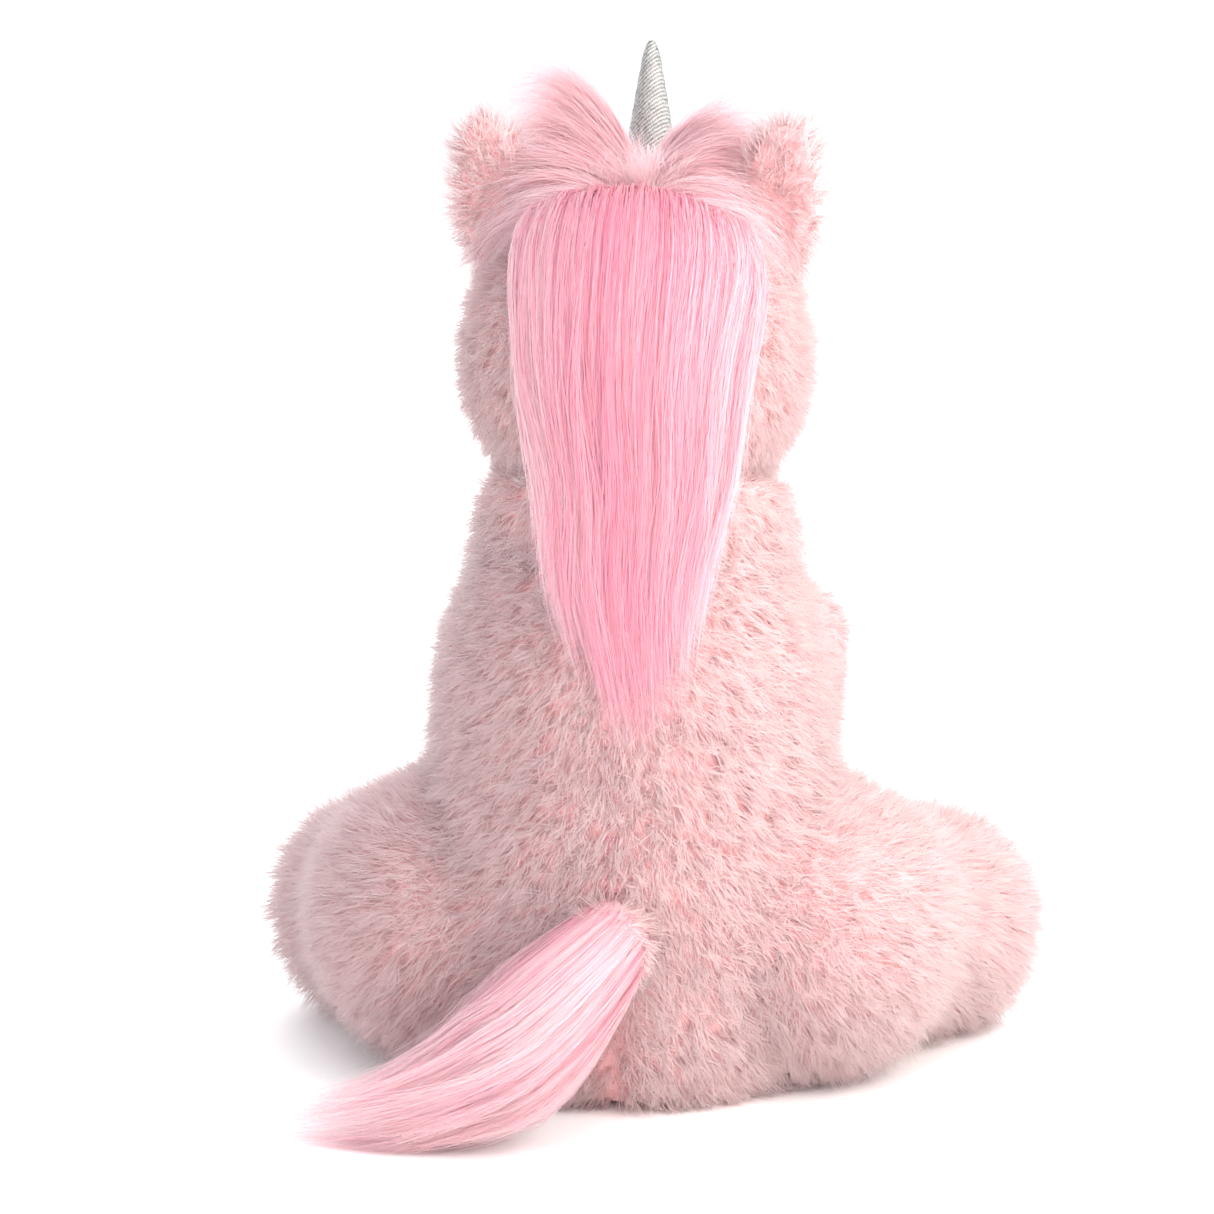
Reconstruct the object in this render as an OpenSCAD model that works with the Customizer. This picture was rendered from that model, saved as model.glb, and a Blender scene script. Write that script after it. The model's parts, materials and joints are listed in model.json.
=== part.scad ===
// Seated plush unicorn with a soft neck, folding ears, sewn-on legs and a long tail.
// Millimetres, +Z up. It looks along -Y, so its own left side is on +X.
// The origin is the middle of the flat base panel, on the surface it sits on.
// Soft pieces are plain closed solids of the right size and place.

/* [Torso] */
// Radius of the flat base panel
seat_r = 44; // [38:1:48]
// Widest radius of the torso, at the hips
pelvis_r = 57; // [52:1:68]
// Height of the widest part of the hips
pelvis_z = 50; // [42:1:60]
// Radius of the chest
chest_r = 53; // [48:1:60]
// Height of the chest
chest_z = 116; // [106:1:126]
// Height of the seam between torso and neck
neck_seam_z = 152; // [146:1:182]
// How far forward the head and neck stand
head_forward = 5; // [0:1:8]
// Depth of the belly panel's seams in front of the middle
belly_seam_y = -28; // [-34:1:-22]

/* [Head] */
// Radius of the round head
head_r = 47; // [39:1:56]
// Stuffing under the head, inside the neck
neck_floor = 8; // [5:1:12]
// Angle below the head's middle where the neck's back edge sits
neck_edge_angle = 29; // [26:1:34]
// Width of the neck's edge round the head
neck_lip = 2; // [1.5:0.5:4]
// Height of the neck's front edge above its seam
throat_h = 5; // [3:1:10]
// Radius of the muzzle
muzzle_r = 24; // [20:1:28]
// Radius of the muzzle where it leaves the head
muzzle_root_r = 30; // [27:1:34]
// How far the muzzle stands out beyond the round head
muzzle_out = 21; // [16:1:26]
// Downward slope of the muzzle
muzzle_drop = 8; // [0:1:12]

/* [Ears and horn] */
// Angle of the ears out from the top of the head
ear_angle = 45; // [42:1:50]
// Radius of the rolled edge at the ear's base, which is also half its thickness
ear_roll_r = 4; // [3.5:0.5:5]
// Width of the ear's base
ear_base_w = 27; // [22:1:30]
// Height of the ear above its base
ear_h = 31; // [26:1:36]
// Thickness of the ear's lining
ear_lining_t = 3; // [2:0.5:3.5]
// Radius of the horn's base
horn_r = 10.5; // [8.5:0.5:12.5]
// Radius of the horn's rounded tip
horn_tip_r = 1.9; // [1.5:0.1:2.5]
// Length of the horn
horn_len = 50; // [42:1:60]
// Angle of the horn's seat forward of the top of the head
horn_angle = 42; // [38:1:46]
// Forward slope of the horn
horn_lean = 5; // [0:1:12]

/* [Eyes and face] */
// Radius of an eye's dome
eye_r = 7; // [6:0.5:8]
// Height of an eye's dome
eye_h = 4.5; // [3.5:0.5:6]
// Radius of an eye's stem
stem_r = 2; // [1.5:0.25:2.5]
// Length of an eye's stem inside the head
stem_len = 9; // [8:1:12]
// Radius of the washer that locks an eye
washer_r = 6.5; // [5.5:0.5:8]
// Thickness of the washer
washer_t = 1.5; // [1:0.25:2]
// Angle of the eyes out from straight ahead
eye_turn = 48; // [44:1:54]
// Angle of the eyes above the middle of the head
eye_lift = 14; // [8:1:18]
// Radius of an embroidered nostril
nostril_r = 3; // [2:0.5:4]
// Thickness of the mouth's embroidery
mouth_t = 1.2; // [0.8:0.2:2]

/* [Front legs] */
// Radius of the shoulder end
shoulder_r = 17; // [15:0.5:18]
// Radius of the leg above the hoof
wrist_r = 15.5; // [14:0.5:16]
// Radius of the hoof
hoof_r = 18.5; // [17:0.5:20]
// Length of the hoof
hoof_len = 27; // [22:1:32]
// Distance of the shoulder's middle inside the chest's widest line
shoulder_inset = 13; // [12:1:15]
// Height of the shoulder above the chest line
shoulder_rise = 6; // [2:1:10]
// How far forward the shoulder's middle stands
shoulder_forward = 26; // [24:1:28]
// Forward lean of the front legs
foreleg_lean = 30; // [27:1:33]
// Inward lean of the front legs
foreleg_tuck = 9; // [7:1:11]
// Distance from the shoulder's middle to its seam with the chest
shoulder_seam = 11; // [9:1:13]
// How far a front leg swings back
foreleg_back = 6; // [0:1:8]

/* [Hind legs] */
// Radius of the haunch
haunch_r = 42; // [35:1:46]
// Distance from the widest hip line in to the haunch's seam
hip_inset = 21; // [18:1:24]
// Distance from the haunch's seam out to its middle
haunch_out = 12; // [9:1:15]
// How far behind the middle the haunch's centre sits
haunch_back = 2; // [0:1:5]
// Radius of the hind leg where it leaves the haunch
shank_r = 31; // [30:1:33]
// Radius of the hind foot
foot_r = 30; // [26:1:31]
// Distance from the haunch's middle to the foot's
hind_reach = 65; // [58:1:78]
// Outward splay of the hind legs
hind_splay = 30; // [27:1:36]
// Distance from the foot's middle to its flat sole
sole_out = 20; // [16:1:24]
// Thickness of the pads under all four feet
pad_t = 2.5; // [2:0.5:4]

/* [Tail and mane] */
// Height of the tail's root
tail_z = 52; // [46:1:58]
// Radius of the tail's root
tail_root_r = 10; // [8:0.5:11]
// Radius of the tail where it is fullest
tail_full_r = 18; // [15:1:18]
// Sideways reach of the tail
tail_side = 90; // [75:1:108]
// How far the tail lies behind its root
tail_back = 29; // [26:1:35]
// Radius of the cord-like strip inside the tail
tail_strip_r = 4; // [3:0.5:5]
// Thickness of the mane's pile as it lies
mane_t = 6; // [4:0.5:8]
// Half the width of the mane on the crown
mane_half_w = 15; // [12:1:16]
// Half the angle that the mane covers round the neck
mane_half_angle = 24; // [18:1:30]
// Height of the mane's lower end
mane_end_z = 112; // [104:1:124]

/* [Cloth, filling and clearances] */
// Thickness of the plush cloth with its short pile pressed flat
cloth = 2.5; // [2:0.25:3]
// Thickness of the horn's thin cover
horn_cloth = 1.2; // [0.8:0.1:1.5]
// Clearance between bodies that move past each other
move_gap = 0.5; // [0.4:0.1:0.8]
// Clearance between pieces of one body
fill_gap = 0.2; // [0.1:0.05:0.3]
// Height of the feet and haunches above the surface under the seat
floor_gap = 1; // [0.8:0.1:1.5]
// Radius of the stitching thread
thread_r = 0.5; // [0.4:0.1:0.8]

/* [Hidden] */
SIDES = ["left", "right"];
$fn = 72;

// Colours of the materials
plush = "#f5c8ca";
hair = "#f2a9c6";
silver = "#c9c8c4";
fill = "#f4f1ea";
thread = "#d98fa6";
glossy = "#2b1c18";
plastic = "#e8e6e0";
pellets = "#d9d4c8";

big = 400;
inner = cloth + fill_gap;

// Neck and head, worked out from the seam upwards
neck_r = head_r * cos(neck_edge_angle) + neck_lip;
head_z = neck_seam_z + neck_floor + head_r;
neck_top_z = head_z - head_r * sin(neck_edge_angle);
throat_slope = atan((neck_top_z - neck_seam_z - throat_h) / (2 * neck_r));
muzzle_reach = head_r + muzzle_out - muzzle_r;
muzzle_root = sqrt(pow(head_r - inner, 2) - pow(muzzle_root_r - inner, 2)) / 2;

// Legs, worked out from the torso and from the surface under the feet
shoulder_x = chest_r - shoulder_inset;
shoulder_z = chest_z + shoulder_rise;
foreleg_len = ((shoulder_z - floor_gap) / cos(foreleg_tuck) - sin(foreleg_lean) * hoof_r)
    / cos(foreleg_lean);
hip_x = pelvis_r - hip_inset;
haunch_z = haunch_r + floor_gap;
foot_z = foot_r + floor_gap;
hind_pitch = asin((haunch_z - foot_z) / hind_reach);

// Torso outline and pockets
torso_steps = 5;
flank_step = 0.1;
tail_y = torso_radius(tail_z) + tail_root_r / 2;
stitch_count = 12;
stitch_len = 5;
stitch_low_z = tail_z + tail_root_r + 4;
stitch_rise = (mane_end_z - 6 - stitch_low_z) / (stitch_count - 1);

// Radius of the torso's side at a height, without the clearance for the cloth
function ease(t) = (1 - cos(180 * t)) / 2;
function blend(a, b, t) = a + (b - a) * ease(t);
function torso_radius(z) =
    z < pelvis_z ? seat_r + (pelvis_r - seat_r) * sqrt(1 - pow(1 - z / pelvis_z, 2)) :
    z < chest_z ? blend(pelvis_r, chest_r, (z - pelvis_z) / (chest_z - pelvis_z)) :
    blend(chest_r, neck_r, min(1, (z - chest_z) / (neck_seam_z - chest_z)));

// Points along a round corner
function arc_points(x, y, r, from, to, steps) =
    [for (i = [0 : steps]) let (a = from + (to - from) * i / steps) [x + r * cos(a), y + r * sin(a)]];

// Outline of the torso from the base's rim to the neck's seam
function torso_outline() = [
    for (i = [0 : torso_steps]) let (a = 90 * i / torso_steps)
        [seat_r + (pelvis_r - seat_r) * sin(a), pelvis_z * (1 - cos(a))],
    for (i = [1 : torso_steps]) let (z = pelvis_z + (chest_z - pelvis_z) * i / torso_steps)
        [torso_radius(z), z],
    for (i = [1 : torso_steps]) let (z = chest_z + (neck_seam_z - chest_z) * i / torso_steps)
        [torso_radius(z), z]
];

// Mirrors a left-hand piece for the right-hand side
module on_side(side) {
    if (side == "right")
        mirror([1, 0, 0]) children();
    else
        children();
}

module at_head() {
    translate([0, -head_forward, head_z]) children();
}

// Local -Z runs along the muzzle
module along_muzzle() {
    rotate([muzzle_drop - 90, 0, 0]) children();
}

/* ---------- Torso ---------- */

module torso_pear(inset) {
    low = inset;
    high = neck_seam_z - move_gap / 2 - inset;
    intersection() {
        rotate_extrude()
            polygon([[0, 0], for (p = torso_outline()) [p.x - inset, p.y], [0, neck_seam_z]]);
        translate([-big / 2, -big / 2, low]) cube([big, big, high - low]);
    }
}

// Space that a haunch turns in, open to the outside
// Space that a hind leg swings in: a round end, and all that lies in front of the haunch
module hip_pocket(inset) {
    reach = haunch_r + move_gap + inset;
    translate([hip_x - inset, haunch_back, haunch_z]) {
        rotate([0, 90, 0]) cylinder(r = reach, h = big);
        translate([0, -big, -big]) cube([big, big, big + reach - flank_step]);
    }
}

module at_shoulder() {
    translate([shoulder_x, -shoulder_forward, shoulder_z]) rotate([0, foreleg_tuck, 0]) children();
}

// Space that a front leg swings in: a round end, and all that lies in front of the leg
module shoulder_pocket(inset) {
    reach = shoulder_r + move_gap + inset;
    at_shoulder() translate([-shoulder_seam - inset, 0, 0]) {
        rotate([0, 90, 0]) cylinder(r = reach, h = big);
        rotate([foreleg_back - foreleg_lean, 0, 0]) {
            translate([0, -big, -big]) cube([big, big + reach - flank_step, big]);
            translate([0, -big, -1]) cube([big, big, reach - flank_step + 1]);
        }
    }
}

module tail_dimple(inset) {
    translate([0, tail_y, tail_z]) sphere(r = tail_root_r + move_gap + inset);
}

module torso_form(inset) {
    difference() {
        torso_pear(inset);
        for (side = SIDES) on_side(side) {
            hip_pocket(inset);
            shoulder_pocket(inset);
        }
        tail_dimple(inset);
    }
}

module torso_shell() {
    difference() {
        torso_form(0);
        torso_form(cloth);
        translate([0, 0, -1]) cylinder(r = seat_r - cloth, h = cloth + fill_gap + 1);
    }
}

module back_panel(side) {
    color(plush) on_side(side) intersection() {
        torso_shell();
        translate([fill_gap / 2, belly_seam_y + fill_gap / 2, -1]) cube(big);
    }
}

module belly_panel() {
    color(plush) intersection() {
        torso_shell();
        translate([-big / 2, belly_seam_y - fill_gap / 2 - big, -1]) cube(big);
    }
}

module seat_panel() {
    color(plush) difference() {
        cylinder(r = seat_r - cloth - fill_gap, h = cloth);
        for (side = SIDES) on_side(side) hip_pocket(0);
    }
}

pellet_bag_r = seat_r - 12;
pellet_bag_h = 20;
module seat_pellet_bag() {
    round_r = pellet_bag_h / 2;
    color(pellets) translate([0, 0, inner + 2 + round_r]) rotate_extrude() intersection() {
        union() {
            translate([0, -round_r]) square([pellet_bag_r - round_r, 2 * round_r]);
            translate([pellet_bag_r - round_r, 0]) circle(r = round_r);
        }
        translate([0, -big / 2]) square(big);
    }
}

module torso_stuffing() {
    hollow_r = pellet_bag_r + fill_gap;
    color(fill) difference() {
        torso_form(inner);
        translate([0, 0, inner + 2 - fill_gap])
            cylinder(r = hollow_r, h = pellet_bag_h + 2 * fill_gap);
    }
}

// Ladder stitches that close the back after stuffing
module back_seam_thread() {
    color(thread) for (i = [0 : stitch_count - 1]) let (z = stitch_low_z + stitch_rise * i)
        translate([-stitch_len / 2, torso_radius(z) + thread_r + fill_gap, z])
            rotate([0, 90, 0]) cylinder(r = thread_r, h = stitch_len, $fn = 16);
}

/* ---------- Neck ---------- */

module head_ball(grow) {
    at_head() sphere(r = head_r + grow);
}

module neck_form(inset) {
    low = neck_seam_z + move_gap / 2 + inset;
    difference() {
        translate([0, -head_forward, low]) cylinder(r = neck_r - inset, h = neck_top_z - low);
        head_ball(move_gap + inset);
        translate([0, -head_forward + neck_r, neck_top_z - inset])
            rotate([throat_slope, 0, 0]) translate([-big / 2, -big, 0]) cube(big);
    }
}

module neck_skin() {
    color(plush) difference() {
        neck_form(0);
        neck_form(cloth);
    }
}

module neck_stuffing() {
    color(fill) neck_form(inner);
}

// The lower mane hangs from the neck and turns with it, just clear of the torso's back
module nape_mane() {
    lift = head_forward + move_gap + 0.3;
    span = neck_seam_z + 1 - mane_end_z;
    under = [for (i = [0 : torso_steps]) let (z = mane_end_z + span * i / torso_steps)
        [torso_radius(z) + lift, z]];
    held = [[neck_r + fill_gap, neck_seam_z + 10], [neck_r + fill_gap, neck_top_z]];
    inside = concat(under, held);
    outside = [for (i = [len(inside) - 1 : -1 : 0]) inside[i] + [i < 2 ? i * mane_t / 3 + 2 : mane_t, 0]];
    color(hair) translate([0, -head_forward, 0]) rotate([0, 0, 90 - mane_half_angle])
        rotate_extrude(angle = 2 * mane_half_angle) polygon(concat(inside, outside));
}

/* ---------- Head ---------- */

// Turns local +Z to a direction given by a turn from straight ahead and a lift above level
module toward(turn, lift) {
    rotate([0, 0, turn]) rotate([90 - lift, 0, 0]) children();
}

module at_ear() {
    at_head() rotate([0, ear_angle, 0]) translate([0, 0, head_r + 1]) children();
}

// Groove in the head that an ear's rolled base turns in
module ear_groove(inset) {
    at_ear() translate([-ear_base_w / 2 - ear_roll_r - move_gap, 0, 0]) rotate([0, 90, 0])
        cylinder(r = ear_roll_r + move_gap + inset, h = ear_base_w + 2 * ear_roll_r + 2 * move_gap);
}

module head_form(inset) {
    difference() {
        at_head() {
            sphere(r = head_r - inset);
            along_muzzle() {
                translate([0, 0, -muzzle_reach]) sphere(r = muzzle_r - inset);
                translate([0, 0, -muzzle_reach])
                    cylinder(r1 = muzzle_r - inset, r2 = muzzle_root_r - inset,
                        h = muzzle_reach - muzzle_root);
            }
        }
        for (side = SIDES) on_side(side) ear_groove(inset);
    }
}

module at_eye() {
    at_head() toward(eye_turn, eye_lift) translate([0, 0, head_r]) children();
}

module head_shell() {
    difference() {
        head_form(0);
        head_form(cloth);
        for (side = SIDES) on_side(side) at_eye()
            translate([0, 0, -stem_len]) cylinder(r = stem_r + fill_gap, h = 2 * stem_len);
    }
}

// The muzzle's seam lies where the muzzle leaves the round head
muzzle_seam = sqrt(pow(head_r, 2) - pow(muzzle_root_r, 2)) + 3;
module muzzle_half_space() {
    at_head() along_muzzle() translate([-big / 2, -big / 2, -big - muzzle_seam]) cube(big);
}

module head_panel(side) {
    color(plush) on_side(side) difference() {
        head_shell();
        translate([fill_gap / 2 - big, -big / 2, 0]) cube(big);
        at_head() along_muzzle() translate([-big / 2, -big / 2, -big - muzzle_seam + fill_gap]) cube(big);
    }
}

module muzzle_skin() {
    color(plush) intersection() {
        head_shell();
        muzzle_half_space();
    }
}

module head_stuffing() {
    color(fill) difference() {
        head_form(inner);
        for (side = SIDES) on_side(side) at_eye() translate([0, 0, -stem_len - fill_gap])
            cylinder(r = washer_r + fill_gap, h = stem_len + fill_gap);
    }
}

module eye(side) {
    ball_r = (pow(eye_r, 2) + pow(eye_h, 2)) / (2 * eye_h);
    color(glossy) on_side(side) at_eye() {
        intersection() {
            translate([0, 0, eye_h + fill_gap - ball_r]) sphere(r = ball_r);
            translate([0, 0, fill_gap]) cylinder(r = eye_r, h = eye_h);
        }
        translate([0, 0, -stem_len]) cylinder(r = stem_r, h = stem_len + fill_gap + 0.5);
    }
}

module eye_washer(side) {
    color(plastic) on_side(side) at_eye() translate([0, 0, -inner - washer_t - 1]) difference() {
        cylinder(r = washer_r, h = washer_t);
        translate([0, 0, -1]) cylinder(r = stem_r + fill_gap / 2, h = washer_t + 2);
    }
}

// Places a piece on the muzzle's round end
module on_muzzle(turn, lift) {
    at_head() along_muzzle() translate([0, 0, -muzzle_reach]) rotate([0, 180, 0])
        rotate([lift, 0, 0]) rotate([0, turn, 0]) translate([0, 0, muzzle_r]) children();
}

nostril_turn = 24;
nostril_lift = 16;
module nostril_embroidery() {
    color(thread) for (turn = [-nostril_turn, nostril_turn])
        on_muzzle(turn, nostril_lift) translate([0, 0, fill_gap]) cylinder(r = nostril_r, h = 0.6);
}

mouth_angle = 46;
mouth_low = 24;
module mouth_embroidery() {
    color(thread) at_head() along_muzzle() translate([0, 0, -muzzle_reach])
        rotate([mouth_low, 0, 0]) rotate([90, 0, 0])
            rotate([0, 0, -90 - mouth_angle]) rotate_extrude(angle = 2 * mouth_angle)
                translate([muzzle_r + fill_gap + mouth_t / 2, 0]) circle(r = mouth_t / 2, $fn = 16);
}

// Upper mane, sewn over the crown and the back of the head
crown_front = 20;
crown_low_angle = 14;
module crown_mane() {
    color(hair) at_head() intersection() {
        difference() {
            sphere(r = head_r + mane_t);
            sphere(r = head_r + fill_gap);
        }
        translate([-mane_half_w, -crown_front, -head_r * sin(crown_low_angle)])
            cube([2 * mane_half_w, big, big]);
    }
}

// Two loose locks that rise from the crown and sweep to either side
lock_r = 8;
lock_tip_r = 6;
lock_side = 25;
lock_rise = 24;
module forelock() {
    root_z = head_r + mane_t + lock_r + fill_gap;
    color(hair) at_head() for (side = SIDES) on_side(side) hull() {
        translate([lock_r + fill_gap, 0, root_z]) sphere(r = lock_r, $fn = 24);
        translate([lock_side, -2, root_z + lock_rise - lock_r]) sphere(r = lock_tip_r, $fn = 24);
    }
}

module at_horn() {
    at_head() rotate([horn_angle, 0, 0]) translate([0, 0, head_r])
        rotate([horn_lean - horn_angle, 0, 0]) children();
}

module horn_cone(inset) {
    sink = horn_r;
    slope = (horn_r - horn_tip_r) / horn_len;
    difference() {
        at_horn() {
            translate([0, 0, -sink])
                cylinder(r1 = horn_r + slope * sink - inset, r2 = horn_tip_r - inset / 2, h = horn_len + sink);
            translate([0, 0, horn_len]) sphere(r = horn_tip_r - inset / 2);
        }
        head_ball(fill_gap + inset);
    }
}

module horn_cover() {
    color(silver) difference() {
        horn_cone(0);
        horn_cone(horn_cloth);
    }
}

module horn_stuffing() {
    color(fill) horn_cone(horn_cloth + fill_gap);
}

/* ---------- Ears ---------- */

// A leaf in its own plane: a rolled base along local X, a full outer edge and a blunt tip
// that leans back towards the upright
module ear_form() {
    tip_r = ear_roll_r + 3;
    edge_r = 2 * ear_roll_r;
    hull() {
        for (end = [-1, 1]) translate([1 + end * (ear_base_w / 2 - ear_roll_r), 0, 0])
            sphere(r = ear_roll_r, $fn = 32);
        translate([tip_r / 2 - ear_base_w / 2 - 2, ear_roll_r, ear_h - tip_r]) rotate([90, 0, 0])
            cylinder(r = tip_r, h = 2 * ear_roll_r, $fn = 32);
        translate([1, ear_roll_r, ear_h / 2 - 5]) rotate([90, 0, 0])
            cylinder(r = edge_r, h = 2 * ear_roll_r, $fn = 32);
    }
}

module ear_piece(side, low_y, high_y) {
    on_side(side) at_ear() intersection() {
        ear_form();
        translate([-big / 2, low_y, -big / 2]) cube([big, high_y - low_y, big]);
    }
}

module ear_back(side) {
    color(plush) ear_piece(side, ear_lining_t - ear_roll_r + fill_gap, big);
}

module ear_lining(side) {
    color(silver) ear_piece(side, -big, ear_lining_t - ear_roll_r);
}

/* ---------- Front legs ---------- */

// Half outline of a front leg: a round shoulder, a tapering shaft and a hoof with a rounded rim
rim_r = 5;
rim_steps = 3;
dome_steps = 8;
module foreleg_outline(inset) {
    dome_r = shoulder_r - inset;
    hoof_top = -foreleg_len + hoof_len;
    hoof_low = -foreleg_len + pad_t + inset;
    rim_x = hoof_r - inset - rim_r;
    polygon(concat(
        [[0, hoof_low]],
        arc_points(rim_x, hoof_low + rim_r, rim_r, -90, 0, rim_steps),
        [[hoof_r - inset, hoof_top - rim_r], [wrist_r - inset, hoof_top]],
        arc_points(0, 0, dome_r, 0, 90, dome_steps)
    ));
}

module along_foreleg() {
    at_shoulder() rotate([-foreleg_lean, 0, 0]) children();
}

module foreleg_form(inset) {
    difference() {
        along_foreleg() rotate_extrude() foreleg_outline(inset);
        at_shoulder() translate([-big - shoulder_seam + move_gap + inset, -big / 2, -big / 2]) cube(big);
    }
}

module front_leg_skin(side) {
    color(plush) on_side(side) difference() {
        foreleg_form(0);
        foreleg_form(cloth);
    }
}

module front_leg_stuffing(side) {
    color(fill) on_side(side) foreleg_form(inner);
}

module front_hoof_pad(side) {
    color(silver) on_side(side) difference() {
        along_foreleg() translate([0, 0, -foreleg_len])
            cylinder(r = hoof_r - rim_r, h = pad_t - fill_gap);
        at_shoulder() translate([-big - shoulder_seam + move_gap, -big / 2, -big / 2]) cube(big);
    }
}

/* ---------- Hind legs ---------- */

foot_steps = 4;
haunch_steps = 12;

// Local -Z runs from the haunch's middle to the foot
module along_hind_leg() {
    translate([hip_x + haunch_out, haunch_back, haunch_z])
        rotate([0, 0, hind_splay]) rotate([hind_pitch - 90, 0, 0]) children();
}

// Half outline of a hind leg: a round haunch, a thick shank and a round foot with a flat sole
module hind_leg_outline(inset) {
    thigh_r = haunch_r - inset;
    sole = sole_out - inset;
    polygon(concat(
        [[0, -hind_reach - sole]],
        arc_points(0, -hind_reach, foot_r - inset, -asin(sole / (foot_r - inset)), 0, foot_steps),
        arc_points(0, 0, thigh_r, -acos((shank_r - inset) / thigh_r), 90, haunch_steps)
    ));
}

module hind_leg_form(inset) {
    difference() {
        along_hind_leg() rotate_extrude() hind_leg_outline(inset);
        translate([hip_x + move_gap + inset - big, -big / 2, -big / 2]) cube(big);
    }
}

module hind_leg_skin(side) {
    color(plush) on_side(side) difference() {
        hind_leg_form(0);
        hind_leg_form(cloth);
    }
}

foot_bag_r = foot_r / 2;
module at_foot_bag() {
    along_hind_leg() translate([0, 0, -hind_reach]) children();
}

module hind_leg_stuffing(side) {
    color(fill) on_side(side) difference() {
        hind_leg_form(inner);
        at_foot_bag() sphere(r = foot_bag_r + fill_gap);
    }
}

module hind_pellet_bag(side) {
    color(pellets) on_side(side) at_foot_bag() sphere(r = foot_bag_r);
}

module hind_foot_pad(side) {
    sole_r = sqrt(pow(foot_r, 2) - pow(sole_out, 2));
    color(silver) on_side(side) along_hind_leg()
        translate([0, 0, -hind_reach - sole_out - fill_gap - pad_t])
            cylinder(r1 = sole_r - pad_t, r2 = sole_r, h = pad_t);
}

/* ---------- Tail ---------- */

// Middle and radius of each stage of the tail, from its root to its tip on the ground
tail_stages = [
    [0, tail_root_r / 2, tail_z - 2, tail_root_r - 1],
    [2, 0.75 * tail_back, 34, tail_full_r],
    [22, tail_back, tail_full_r + 1.5, tail_full_r - 1.5],
    [0.58 * tail_side, tail_back + 1, 11.5, 10.5],
    [tail_side, 0.8 * tail_back, 4, 3]
];

module tail_stage(stage) {
    translate([stage[0], tail_y + stage[1], stage[2]]) sphere(r = stage[3], $fn = 24);
}

module tail_strip() {
    color(plush) {
        translate([0, tail_y, tail_z]) sphere(r = tail_root_r);
        translate([0, tail_y, tail_z]) rotate([-140, 0, 0])
            cylinder(r = tail_strip_r, h = tail_root_r + 14);
    }
}

module tail_hair() {
    color(hair) difference() {
        for (i = [0 : len(tail_stages) - 2]) hull() {
            tail_stage(tail_stages[i]);
            tail_stage(tail_stages[i + 1]);
        }
        translate([0, tail_y, tail_z]) sphere(r = tail_root_r + fill_gap);
        translate([0, tail_y, tail_z]) rotate([-140, 0, 0])
            cylinder(r = tail_strip_r + fill_gap, h = tail_root_r + 14 + fill_gap);
    }
}

/* ---------- Every piece ---------- */

for (side = SIDES) {
    back_panel(side);
    head_panel(side);
    eye(side);
    eye_washer(side);
    ear_back(side);
    ear_lining(side);
    front_leg_skin(side);
    front_leg_stuffing(side);
    front_hoof_pad(side);
    hind_leg_skin(side);
    hind_leg_stuffing(side);
    hind_foot_pad(side);
    hind_pellet_bag(side);
}
belly_panel();
seat_panel();
torso_stuffing();
seat_pellet_bag();
back_seam_thread();
neck_skin();
neck_stuffing();
nape_mane();
muzzle_skin();
head_stuffing();
crown_mane();
forelock();
horn_cover();
horn_stuffing();
nostril_embroidery();
mouth_embroidery();
tail_hair();
tail_strip();
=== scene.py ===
import json
import math

import bmesh
import bpy
import numpy as np
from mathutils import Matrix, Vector
from mathutils.bvhtree import BVHTree
from mathutils.kdtree import KDTree


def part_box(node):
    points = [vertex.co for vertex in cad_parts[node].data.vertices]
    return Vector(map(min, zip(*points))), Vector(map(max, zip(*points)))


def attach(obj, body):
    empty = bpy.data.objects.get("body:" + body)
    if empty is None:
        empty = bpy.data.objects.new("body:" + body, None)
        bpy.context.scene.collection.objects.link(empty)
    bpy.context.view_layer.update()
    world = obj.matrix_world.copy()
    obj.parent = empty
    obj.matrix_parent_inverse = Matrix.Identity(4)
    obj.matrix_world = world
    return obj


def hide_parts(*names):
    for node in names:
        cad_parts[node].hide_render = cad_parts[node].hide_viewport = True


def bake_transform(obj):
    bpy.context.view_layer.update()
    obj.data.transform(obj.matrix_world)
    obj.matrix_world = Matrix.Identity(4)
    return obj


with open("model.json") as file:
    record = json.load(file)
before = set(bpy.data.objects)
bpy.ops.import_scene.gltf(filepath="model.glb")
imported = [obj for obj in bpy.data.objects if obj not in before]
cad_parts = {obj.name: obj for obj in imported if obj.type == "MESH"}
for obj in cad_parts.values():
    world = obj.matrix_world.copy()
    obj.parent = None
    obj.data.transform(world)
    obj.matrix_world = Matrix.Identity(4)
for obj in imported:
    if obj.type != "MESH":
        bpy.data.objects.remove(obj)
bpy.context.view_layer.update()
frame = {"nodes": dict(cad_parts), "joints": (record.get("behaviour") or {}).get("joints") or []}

MM = 0.001
TINY = 1e-9


def joint_place(name):
    """Where the joint of that name turns, in metres."""
    joint = next(joint for joint in frame["joints"] if joint["name"] == name)
    return np.array(joint["pos_m"])


# --- Camera and set -------------------------------------------------------------------------------
# The toy sits alone on a plain pale floor and is seen from behind, a little above its own height
# and a little to one side, through a long lens. A warm lamp stands behind the toy's right shoulder,
# and two wider ones light it from behind and from the front.

VIEW_AZIMUTH = 187
VIEW_ELEVATION = 11
VIEW_DISTANCE = 1.5
VIEW_CENTRE = Vector((0.0078, 0.001, 0.1354))
VIEW_WIDTH = 0.3469
FLOOR_SIZE = 40


def toward(azimuth, elevation):
    """The direction of a viewer who stands at that angle, in degrees."""
    turn = math.radians(azimuth)
    rise = math.radians(elevation)
    return Vector((math.sin(turn) * math.cos(rise), -math.cos(turn) * math.cos(rise), math.sin(rise)))


def add(name, data):
    """A new object in the scene."""
    thing = bpy.data.objects.new(name, data)
    bpy.context.scene.collection.objects.link(thing)
    return thing


def aim(thing, target, direction, distance):
    thing.location = target + direction * distance
    thing.rotation_euler = direction.to_track_quat("Z", "Y").to_euler()


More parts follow.
